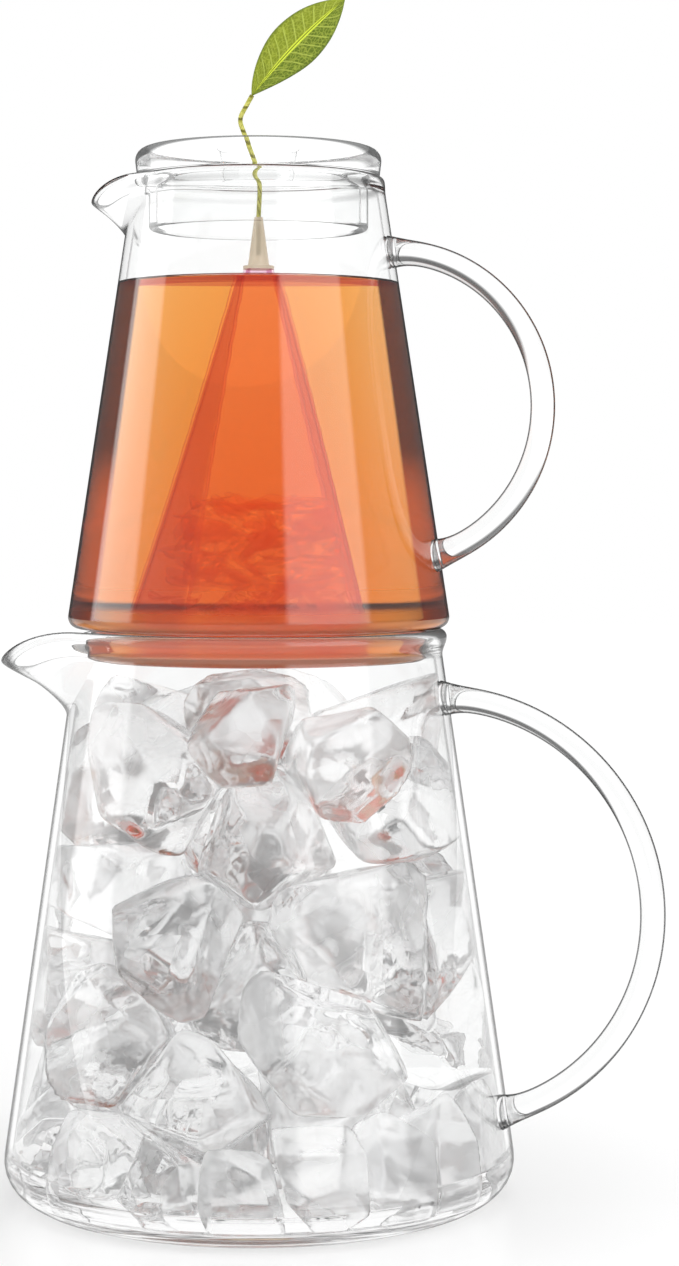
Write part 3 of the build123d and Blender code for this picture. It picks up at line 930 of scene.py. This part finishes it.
class ICEDTEA_OT_stage(bpy.types.Operator):
    """Floor, lamps, world and camera"""

    bl_idname = "icedtea.stage"
    bl_label = "Stage"

    def execute(self, context):
        scene = context.scene
        scene.view_settings.view_transform = "Standard"
        for kind in ("max_bounces", "transmission_bounces", "glossy_bounces"):
            setattr(scene.cycles, kind, GLASS_BOUNCES)
        scene.cycles.transparent_max_bounces = CLEAR_BOUNCES
        self.floor()
        self.world(scene)
        self.lamps(scene)
        self.camera(scene)
        return {"FINISHED"}

    def floor(self):
        """White floor that keeps the pitchers' shadow, with a grey disc of painted shadow under the base that
        only the camera sees.
        """
        reach = 3.0
        corners = [(-reach, -reach, 0), (reach, -reach, 0), (reach, reach, 0), (-reach, reach, 0)]
        floor = build("floor", corners, [(0, 1, 2, 3)])
        t = material("white_floor")
        paint = t.principled(Base_Color=(0.93, 0.93, 0.93), Roughness=0.3, Specular_IOR_Level=0.5)
        glow = t.value("Emission", "Emission", Color=CLEAR, Strength=1.02)
        # Painted shadow: grey emission that the camera sees in a disc under the base.
        painted_shadow = t.value("Emission", "Emission", Color=(0.80, 0.80, 0.80), Strength=1.0)
        away = t.value("VectorMath", "Value", {"operation": "LENGTH"}, _0=t.place())
        camera = t.light_path("Is Camera Ray")
        bounced = t.light_path("Is Transmission Ray") + t.light_path("Is Glossy Ray")
        seen = (bounced + camera * (away.step(0.08, 0.3) * 0.75 + 0.25)).clamped()
        painted_shadow_disc = (1.0 - away.step(0.066, 0.13)) * camera
        floor.data.materials.append(t.finish(t.blend(seen, paint, t.blend(painted_shadow_disc, glow, painted_shadow))))

    def world(self, scene):
        """White room: two soft boxes for reflections, and a darker band that glass shows at its edges."""
        scene.world = bpy.data.worlds.new("white_room")
        t = Tree(scene.world)
        x, y, up = t.parts(t.value("TexCoord", "Generated"))
        azimuth = y.math("ARCTAN2", x)
        through = 1.12 - up.step(0.17, 0.32) * 0.95 + up.step(0.5, 0.6) * 0.7 - up.step(0.8, 0.92) * 0.6
        boxes = self.box_glow(azimuth, -30.0, 29.0) + self.box_glow(azimuth, -175.0, 21.0)
        mirror = 0.15 + boxes * 3.3 * (1.0 - abs(up).step(0.5, 0.8)) + up.step(0.5, 0.7) * 0.85
        passing = t.light_path("Is Transmission Ray")
        glossy = t.light_path("Is Glossy Ray") * (1.0 - passing)
        camera = t.light_path("Is Camera Ray")
        other = (1.0 - glossy) * (1.0 - passing) * (1.0 - camera)
        strength = camera + glossy * mirror + passing * through + other * 0.8
        t.finish(t.value("Background", "Background", Color=CLEAR, Strength=strength))

    @staticmethod
    def box_glow(azimuth, centre, half):
        """1 inside a soft box's spread of azimuth, 0 outside, in degrees."""
        edge, soft = (math.cos(math.radians(spread)) for spread in (half, half - 5.0))
        return (azimuth - math.radians(centre)).math("COSINE").step(edge, soft)

    def lamps(self, scene):
        """Three soft boxes round the pitchers."""
        aim = Vector((0, 0, 0.15))
        for name, place, size, power in (
            ("left_box", (-0.75, -0.75, 0.55), 0.7, 7.0),
            ("right_box", (0.95, -0.35, 0.45), 0.8, 7.0),
            ("back_box", (0.2, 0.95, 0.7), 0.9, 6.0),
        ):
            lamp = bpy.data.lights.new(name, "AREA")
            lamp.shape = "SQUARE"
            lamp.size = size
            lamp.energy = power
            obj = bpy.data.objects.new(name, lamp)
            obj.location = place
            obj.rotation_euler = (aim - Vector(place)).to_track_quat("-Z", "Y").to_euler()
            obj.visible_glossy = False
            obj.visible_transmission = False
            scene.collection.objects.link(obj)

    def camera(self, scene):
        """Camera in front of the pitchers, looking slightly down."""
        camera = bpy.data.cameras.new("camera")
        camera.lens = CAMERA_LENS
        camera.sensor_width = 36.0
        obj = bpy.data.objects.new("camera", camera)
        obj.location = CAMERA_PLACE
        heading = math.atan2(-CAMERA_PLACE[1], -CAMERA_PLACE[0]) - math.radians(CAMERA_YAW)
        aim = Vector((math.cos(heading), math.sin(heading), -math.tan(math.radians(CAMERA_PITCH))))
        obj.rotation_euler = aim.to_track_quat("-Z", "Y").to_euler()
        scene.collection.objects.link(obj)
        scene.camera = obj


class ICEDTEA_OT_ice_pitcher(bpy.types.Operator):
    """Lower pitcher's glass and handle"""

    bl_idname = "icedtea.ice_pitcher"
    bl_label = "Ice pitcher"

    def execute(self, context):
        s = context.scene.ice_pitcher
        v = Vessel(s, ICE_BASE, ICE_RIM)
        join, floor = v.join_z, v.base_z + s.floor
        outside = [
            (0, v.base_z + s.kick, 0), (s.kick_radius, v.base_z + s.kick * 0.6, 2 * MM),
            (s.kick_radius + 3 * MM, v.base_z, 2 * MM), (v.cone(v.base_z), v.base_z, s.corner),
            (v.cone(join), join, 0),
        ]
        inside = [
            (v.cone(join, s.wall), join, 0), (v.cone(floor, s.wall), floor, s.corner - s.wall), (0, floor, 0),
        ]
        blow("ice_pitcher", v, outside, inside)
        return {"FINISHED"}


class ICEDTEA_OT_steeping_pitcher(bpy.types.Operator):
    """Upper pitcher's glass and handle"""

    bl_idname = "icedtea.steeping_pitcher"
    bl_label = "Steeping pitcher"

    def execute(self, context):
        s = context.scene.steeping_pitcher
        bottom, seat = STEEP_BASE, STEEP_BASE + s.collar_depth
        v = Vessel(s, seat, STEEP_RIM)
        join = v.join_z
        outside = [
            (0, bottom, 0), (s.collar, bottom, s.collar_round), (s.collar, seat, 0.8 * MM),
            (v.cone(seat), seat, s.corner), (v.cone(join), join, 0),
        ]
        step, inner = seat + s.wall, s.collar - s.wall
        inside = [
            (v.cone(join, s.wall), join, 0), (v.cone(step, s.wall), step, s.corner / 2),
            (inner, step, s.step_round), (inner, bottom + s.floor, s.collar_round / 2),
            (0, bottom + s.floor, 0),
        ]
        blow("steeping_pitcher", v, outside, inside)
        return {"FINISHED"}


class ICEDTEA_OT_lid(bpy.types.Operator):
    """Stopper lid"""

    bl_idname = "icedtea.lid"
    bl_label = "Lid"

    def execute(self, context):
        s = context.scene.lid
        low, top = LID_BASE, LID_CROWN
        seat, inner = low + s.seat, s.skirt - s.skirt_wall
        middle = ((inner + s.hole_low) / 2, seat, 0)
        profile = [
            middle, (s.hole_low, seat, 0.8 * MM), (s.hole_top, top, 0.8 * MM), (s.flange, top, s.crown_round),
            (s.flange - s.flange_draft, seat, 0.5 * MM), (s.skirt, seat, 0.7 * MM), (s.skirt, low, s.edge),
            (inner, low, s.edge), (inner, seat, s.skirt_wall), middle,
        ]
        crown = top - s.crown_round

        def line_at(p, bend):
            """How dark the painted edge line shows there: none round the hole, most along the crown's edge.
            """
            if p.x < 20 * MM:
                return 0.0
            return min(1.0, bend * 2.0) if p.y > crown else bend * 0.8

        obj = revolved("stopper_lid_glass", profile, line_at, WELD)
        dress(obj, FINISHES["lid_glass"], "stopper_lid", "lid", slot="clear_glass")
        return {"FINISHED"}


class ICEDTEA_OT_brewed_tea(bpy.types.Operator):
    """Hot tea that fills the steeping pitcher"""

    bl_idname = "icedtea.brewed_tea"
    bl_label = "Brewed tea"

    def execute(self, context):
        s, c = context.scene.steeping_pitcher, context.scene.contents
        v = Vessel(s, STEEP_BASE + s.collar_depth, STEEP_RIM)
        lap = 0.12 * MM  # how far the tea runs into the glass, so that no gap shows
        step, floor = v.base_z + s.wall - lap, STEEP_BASE + s.floor - lap
        inner = s.collar - s.wall + lap
        level, glass = c.tea_level, v.cone(c.tea_level, s.wall)
        profile = [
            (0, floor, 0), (inner, floor, s.collar_round / 2), (inner, step, s.step_round),
            (v.cone(step, s.wall) + lap, step, s.corner / 2), (glass + lap, level + c.meniscus, 0),
            (glass - 0.06 * MM, level + c.meniscus - 0.1 * MM, 0),
            (glass - 0.1 * MM, level + c.meniscus * 0.4, 0),
            (glass - 0.35 * MM, level + c.meniscus * 0.14, 0),
            (glass + lap - 1.2 * MM, level, 0), (0, level, 0),
        ]
        dress(revolved("brewed_tea", profile), brewed_tea_finish(c), "steeping_pitcher")
        return {"FINISHED"}


class ICEDTEA_OT_ice(bpy.types.Operator):
    """Lumps of ice that fill the ice pitcher"""

    bl_idname = "icedtea.ice"
    bl_label = "Ice"

    layers = 3  # pieces that the lumps are shared out to, from the bottom up
    tries = 260
    wall_planes = 28
    sharpness = 30  # how crisp a lump's edges are
    off_glass = 0.3 * MM
    off_floor = 0.4 * MM
    past_glass = 0.9 * MM  # how far outside the ice's room the planes at the glass and the floor lie
    inset = 7 * MM  # between the lumps' middles and the ice's top and bottom
    wall_inset = 8 * MM  # between the lumps' middles and the wall
    least = 2 * MM  # from a lump's middle to any of its planes

    def execute(self, context):
        c = context.scene.contents
        v = Vessel(context.scene.ice_pitcher, ICE_BASE, ICE_RIM)
        dice = random.Random(c.seed)
        low = v.base_z + v.s.floor + self.off_floor
        seeds = self.spread_out(v, c, low, dice)
        finish = ice_finish()
        ball, ball_faces = unit_ball(5)
        order = sorted(range(len(seeds)), key=lambda i: seeds[i].z)
        for layer in range(self.layers):
            verts, faces = [], []
            for i in order[layer * len(order) // self.layers:(layer + 1) * len(order) // self.layers]:
                start = len(verts)
                verts.extend(self.lump(v, c, i, seeds, low, ball, dice))
                faces.extend(tuple(start + k for k in face) for face in ball_faces)
            dress(outward(build(f"ice_lumps_{layer + 1}", verts, faces)), finish, "ice_pitcher")
        return {"FINISHED"}

    def spread_out(self, v, c, low, dice):
        """Middles of the lumps: a ring of small ones at the bottom, then each the loneliest of many tries."""
        seeds = []
        for k in range(c.small_ice):
            a = TAU * (k + dice.uniform(-0.3, 0.3)) / c.small_ice
            r = v.cone(low, v.s.wall) - dice.uniform(6.0, 12.0) * MM
            seeds.append(Vector((r * math.cos(a), r * math.sin(a), low + dice.uniform(3.0, 8.0) * MM)))
        for _ in range(c.ice_count):
            best, best_gap = None, -1.0
            for _ in range(self.tries):
                z = dice.uniform(low + self.inset, c.ice_level - self.inset)
                r = (v.cone(z, v.s.wall) - self.wall_inset) * math.sqrt(dice.random())
                a = dice.uniform(0, TAU)
                p = Vector((r * math.cos(a), r * math.sin(a), z))
                bounds = [2 * (v.cone(z, v.s.wall) - r), 2 * (z - low), 50 * MM]
                gap = min([(p - q).length for q in seeds] + bounds) * dice.uniform(0.75, 1.0)
                if gap > best_gap:
                    best, best_gap = p, gap
            seeds.append(best)
        return seeds

    def planes(self, v, c, index, seeds, low, dice):
        """(normal, depth) of the planes round a lump: its neighbours, the glass, the top and its chips."""
        seed = seeds[index]
        planes = []
        for k, other in enumerate(seeds):
            if k != index:
                way = other - seed
                planes.append((way.normalized(), way.length / 2 - dice.uniform(0.08, 0.3) * MM))
        planes.append((Vector((0, 0, -1)), seed.z - low + self.past_glass))
        top = c.ice_level - dice.uniform(0.0, 3.0) * MM - 0.5 * max(0.0, math.hypot(seed.x, seed.y) - 20 * MM)
        lean = Vector((dice.uniform(-0.35, 0.35), dice.uniform(-0.35, 0.35), 1)).normalized()
        planes.append((lean, max(6 * MM, (top - seed.z) * lean.z)))
        reach = v.cone(seed.z, v.s.wall) + self.past_glass
        for k in range(self.wall_planes):
            a = TAU * k / self.wall_planes
            out = Vector((math.cos(a), math.sin(a), v.slope)).normalized()
            wall = Vector((math.cos(a), math.sin(a), 0)) * reach
            planes.append((out, (wall - Vector((seed.x, seed.y, 0))).dot(out)))
        for _ in range(c.chips):
            way = Vector([dice.gauss(0, 1) for _ in range(3)]).normalized()
            near = min(max(d, self.least) / n.dot(way) for n, d in planes if n.dot(way) > 0.05)
            planes.append((way, near * dice.uniform(0.84, 0.98)))
        return planes

    def lump(self, v, c, index, seeds, low, ball, dice):
        """Points of one lump: the room nearest its middle, with rounded edges and scalloped faces."""
        seed = seeds[index]
        planes = self.planes(v, c, index, seeds, low, dice)
        normals = np.array([n for n, _ in planes])
        depths = np.array([max(d, self.least) for _, d in planes])
        shares = np.maximum(ball @ normals.T, 0.0) / depths
        reach = 1.0 / (shares**self.sharpness).sum(axis=1) ** (1 / self.sharpness)
        shift = Vector([dice.uniform(0, 90) for _ in range(3)])
        points = []
        for way, far in zip(ball, reach):
            way = Vector(way)
            p = seed + way * far
            nearest = noise.voronoi(p * 62.0 + shift)[0][0]
            scallop = 1.0 - min(1.0, nearest ** 2 * 1.6)
            ripple = 1.0 + noise.noise(p * 120.0 + shift)
            dent = (0.1 + 0.7 * scallop + 0.1 * ripple) * MM
            points.append(self.held_in(v, seed + way * max(far - dent, 0.35 * far), low))
        return points

    def held_in(self, v, p, low):
        """Keeps a point off the glass."""
        z = max(p.z, low)
        most = v.cone(z, v.s.wall) - self.off_glass
        if z < v.base_z + v.s.corner:
            inner = v.s.corner - v.s.wall
            rise = min(v.s.corner - (z - v.base_z), inner)
            most -= inner - math.sqrt(max(0.0, inner**2 - rise**2))
        share = most / max(most, math.hypot(p.x, p.y))
        return Vector((p.x * share, p.y * share, z))


def unit_ball(subdivisions):
    """Points and faces of a ball of radius 1."""
    work = bmesh.new()
    bmesh.ops.create_icosphere(work, subdivisions=subdivisions, radius=1.0)
    points = np.array([v.co[:] for v in work.verts])
    faces = [tuple(v.index for v in f.verts) for f in work.faces]
    work.free()
    return points, faces


class ICEDTEA_OT_infuser(bpy.types.Operator):
    """Pyramid bag, its floor, its cap and its stem"""

    bl_idname = "icedtea.infuser"
    bl_label = "Infuser"

    bag_steps = 44  # up the bag
    seam_steps = 40  # up each seam
    seam_half = 0.12 * MM  # half of a seam's thickness, and how far it wavers

    def execute(self, context):
        s = context.scene.infuser
        bag, seams = self.bag(s), self.seams(s)
        dress(bag, FINISHES["cloth"], "infuser", "infuser_sides", slot="infuser_cloth")
        dress(seams, FINISHES["cloth"], "infuser", slot="infuser_cloth")
        repaint("infuser_base", infuser_base_finish())
        repaint("infuser_cap", cap_plastic_finish())
        repaint("stem_wire", wire_finish())
        repaint("stem_wrap", stem_paper_finish())
        return {"FINISHED"}

    def level(self, s, z, inset):
        """Rounded square of the bag at height z, its sides bellied out a little."""
        up = (z - BAG_BASE) / s.rise
        half = s.half * (1 - up) - inset
        corner = s.corner * (1 - up) + 0.25 * MM
        belly = s.belly * math.sin(math.pi * min(1.0, up * 1.05)) ** 0.8
        points = []
        for side in range(4):
            spots = []
            for k in range(s.across):
                x = -1 + 2 * k / s.across
                spots.append((half + belly * (1 - x * x), (half - corner) * x))
            for k in range(s.round_steps):
                a = QUARTER * k / s.round_steps
                spots.append((half - corner + corner * math.cos(a), half - corner + corner * math.sin(a)))
            a = side * QUARTER + s.turn
            cos, sin = math.cos(a), math.sin(a)
            points.extend(Vector((x * cos - y * sin, x * sin + y * cos, z)) for x, y in spots)
        return points

    def bag(self, s):
        """The four sides as one thin closed shell, with weave coordinates."""
        low, high = BAG_BASE, CAP_BASE + 0.05 * MM
        heights = [low + (high - low) * k / self.bag_steps for k in range(self.bag_steps + 1)]
        rings = [self.level(s, z, 0.0) for z in heights]
        rings += [self.level(s, z, s.cloth) for z in reversed(heights)]
        obj = through_rings("infuser_cloth_bag", [*rings, rings[0]], weld=WELD)
        weave = obj.data.uv_layers.new(name="weave")
        for polygon in obj.data.polygons:
            middle = polygon.center
            side = round((math.atan2(middle.y, middle.x) - s.turn) / QUARTER)
            a = side * QUARTER + s.turn
            for loop in polygon.loop_indices:
                p = obj.data.vertices[obj.data.loops[loop].vertex_index].co
                run = p.y * math.cos(a) - p.x * math.sin(a)
                weave.data[loop].uv = (run / s.thread, (p.z - low) / s.thread)
        return obj

    def seams(self, s):
        """Pressed seams that stand out along the four corners."""
        low, high = BAG_BASE + 0.3 * MM, CAP_BASE
        verts, faces = [], []
        for side in range(4):
            a = s.turn + math.pi / 4 + side * QUARTER
            out, over = Vector((math.cos(a), math.sin(a), 0)), Vector((-math.sin(a), math.cos(a), 0))
            start = len(verts)
            for k in range(self.seam_steps + 1):
                z = low + (high - low) * k / self.seam_steps
                up = (z - BAG_BASE) / s.rise
                corner = s.corner * (1 - up)
                reach = s.half * (1 - up) * math.sqrt(2) - corner * (math.sqrt(2) - 1) - s.cloth
                wave = math.sin(k * 1.9 + side)
                for out_by, over_by in ((0, -1), (s.seam, -1), (s.seam, 1), (0, 1)):
                    spot = out * (reach + out_by) + over * (over_by + wave) * self.seam_half
                    verts.append(spot + Vector((0, 0, z)))
            for k in range(self.seam_steps):
                for j in range(4):
                    i, n = start + 4 * k, (j + 1) % 4
                    faces.append((i + j, i + n, i + 4 + n, i + 4 + j))
            top = start + 4 * self.seam_steps
            faces.append((start + 3, start + 2, start + 1, start))
            faces.append((top, top + 1, top + 2, top + 3))
        obj = outward(build("infuser_seams", verts, faces))
        obj.data.uv_layers.new(name="weave")
        return obj


class ICEDTEA_OT_wet_leaves(bpy.types.Operator):
    """Steeped tea leaves that lie in the bag"""

    bl_idname = "icedtea.wet_leaves"
    bl_label = "Wet tea leaves"

    def execute(self, context):
        s, c = context.scene.infuser, context.scene.contents
        finish = wet_leaf_finish()
        t = LeafTree("wet_leaves")
        count, seed, long, wide, half, rise, floor, deep, turn, spare, paint = t.takes(
            count=c.leaf_count, seed=c.seed, leaf_length=c.leaf_length, leaf_width=c.leaf_width,
            half_side=s.half, rise=s.rise, floor=BAG_BASE, depth=HEAP_CROWN - HEAP_BASE - 3 * MM,
            turn=s.turn, spare=1.0 * MM, finish=finish,
        )
        height = t.random(0.0, 1.0, seed) ** 0.85 * deep + spare
        room = half * (1.0 - height / rise) - spare
        x, y = (t.random(-1.0, 1.0, seed + way) * room for way in (1.0, 2.0))
        points = t.value("Points", "Points", Count=count, Position=t.vector(x, y, height))
        leaf = t.value(
            "SetPosition", "Geometry", Position=t.bent_blade(long, wide),
            Geometry=t.value("MeshUVSphere", "Mesh", Segments=7, Rings=6, Radius=0.5),
        )
        tip = t.random(-0.9, 0.9, seed + 3.0)
        roll = t.random(-1.2, 1.2, seed + 4.0)
        spin = t.random(0.0, TAU, seed + 5.0)
        swell = t.random(0.5, 1.2, seed + 6.0)
        placed = t.value(
            "InstanceOnPoints", "Instances", Points=points, Instance=leaf,
            Rotation=t.vector(roll, tip, spin), Scale=t.vector(swell, swell, swell),
        )
        loose = t.value("RealizeInstances", "Geometry", Geometry=placed)
        pressed = t.turned(t.held_in_bag(half, rise, floor, deep, spare), turn)
        heap = t.value("SetPosition", "Geometry", Geometry=loose, Position=pressed)
        painted = t.value("SetMaterial", "Geometry", Geometry=heap, Material=paint)
        dress(outward(t.mesh("wet_tea_leaves", painted)), finish, "infuser", "tea_leaves", slot="dry_leaf")
        return {"FINISHED"}


class ICEDTEA_OT_leaf(bpy.types.Operator):
    """Green leaf on the stem's end"""

    bl_idname = "icedtea.leaf"
    bl_label = "Leaf"

    long_steps = 56  # from stalk to tip
    half_steps = 11  # from the midrib to each edge

    def execute(self, context):
        s = context.scene.leaf
        plane, up = Vector((math.cos(s.plane_turn), math.sin(s.plane_turn), 0)), Vector((0, 0, 1))
        out = plane.cross(up)
        along = plane * math.cos(s.climb) + up * math.sin(s.climb)
        over = up * math.cos(s.climb) - plane * math.sin(s.climb)
        stalk = up * s.stalk_height - plane * s.stalk_back
        verts, uvs = [], []
        for face_side in (1, -1):
            for i in range(self.long_steps + 1):
                t = i / self.long_steps
                for share, across, lift in self.row(s, t):
                    thick = s.thickness / 2 if abs(share) < 1 else s.thickness / 8
                    spot = stalk + along * (t * s.length) + over * across
                    verts.append(spot + out * (lift + face_side * thick))
                    uvs.append((t, (share + 1) / 2))
        obj = outward(build("green_leaf", verts, self.faces()))
        leaf_map = obj.data.uv_layers.new(name="leaf")
        for loop in obj.data.loops:
            leaf_map.data[loop.index].uv = uvs[loop.vertex_index]
        dress(obj, leaf_green_finish(), "infuser", "infuser_leaf", slot="leaf_green")
        return {"FINISHED"}

    def row(self, s, t):
        """(share, across, lift) over the leaf at t of its length: share is -1 and 1 at the edges."""
        inner = min(max(t, 0.004), 0.996)
        swell = math.sin(math.pi * inner)
        skewed = math.sin(math.pi * inner ** 1.15)
        rib = s.rib_bow * math.sin(math.pi * t) ** 0.9
        lower, upper = -s.lower_bulge * skewed ** 0.85 - rib, s.upper_bulge * swell ** 0.75 - rib
        row = []
        for j in range(-self.half_steps, self.half_steps + 1):
            share = j / self.half_steps
            away = abs(share)
            edge, phase = (lower, 2.0) if j < 0 else (upper, 0.0)
            fold = s.fold * away ** 1.3 * min(1.0, swell * 2)
            wave = s.wave * math.sin(t * 19 + phase) * away ** 2 * swell
            row.append((share, rib + away * edge, fold + wave - s.curl * (t - 0.5) ** 2))
        return row

    def faces(self):
        """Faces of the leaf's two skins and of its rim."""
        across = 2 * self.half_steps + 1
        back = across * (self.long_steps + 1)
        faces = []
        for i in range(self.long_steps):
            for j in range(across - 1):
                a = i * across + j
                faces.append((a, a + 1, a + 1 + across, a + across))
                faces.append((back + a, back + a + across, back + a + 1 + across, back + a + 1))
            for a in (i * across, (i + 1) * across - 1):
                faces.append((a, a + across, back + a + across, back + a))
        for i in (0, self.long_steps):
            for a in range(i * across, (i + 1) * across - 1):
                faces.append((a, a + 1, back + a + 1, back + a))
        return faces


class ICEDTEA_PT_panel(bpy.types.Panel):
    """Pieces of the iced tea maker"""

    bl_label = "Iced tea maker"
    bl_idname = "ICEDTEA_PT_panel"
    bl_space_type = "VIEW_3D"
    bl_region_type = "UI"
    bl_category = "Iced tea"

    def draw(self, context):
        for cls in OPERATORS:
            self.layout.operator(cls.bl_idname)


GROUPS = (
    ("ice_pitcher", IcePitcherSizes),
    ("steeping_pitcher", SteepingPitcherSizes),
    ("lid", LidSizes),
    ("infuser", InfuserSizes),
    ("leaf", LeafSizes),
    ("contents", ContentsSizes),
)
OPERATORS = (
    ICEDTEA_OT_stage,
    ICEDTEA_OT_ice_pitcher,
    ICEDTEA_OT_steeping_pitcher,
    ICEDTEA_OT_lid,
    ICEDTEA_OT_infuser,
    ICEDTEA_OT_wet_leaves,
    ICEDTEA_OT_leaf,
    ICEDTEA_OT_brewed_tea,
    ICEDTEA_OT_ice,
)


def register():
    for name, cls in GROUPS:
        bpy.utils.register_class(cls)
        setattr(bpy.types.Scene, name, PointerProperty(type=cls))
    for cls in (*OPERATORS, ICEDTEA_PT_panel):
        bpy.utils.register_class(cls)


def unregister():
    for cls in (ICEDTEA_PT_panel, *OPERATORS):
        bpy.utils.unregister_class(cls)
    for name, cls in GROUPS:
        delattr(bpy.types.Scene, name)
        bpy.utils.unregister_class(cls)


def main():
    """Makes every piece in order."""
    register()
    make_finishes()
    for cls in OPERATORS:
        group, name = cls.bl_idname.split(".")
        getattr(getattr(bpy.ops, group), name)()


if __name__ == "__main__":
    main()
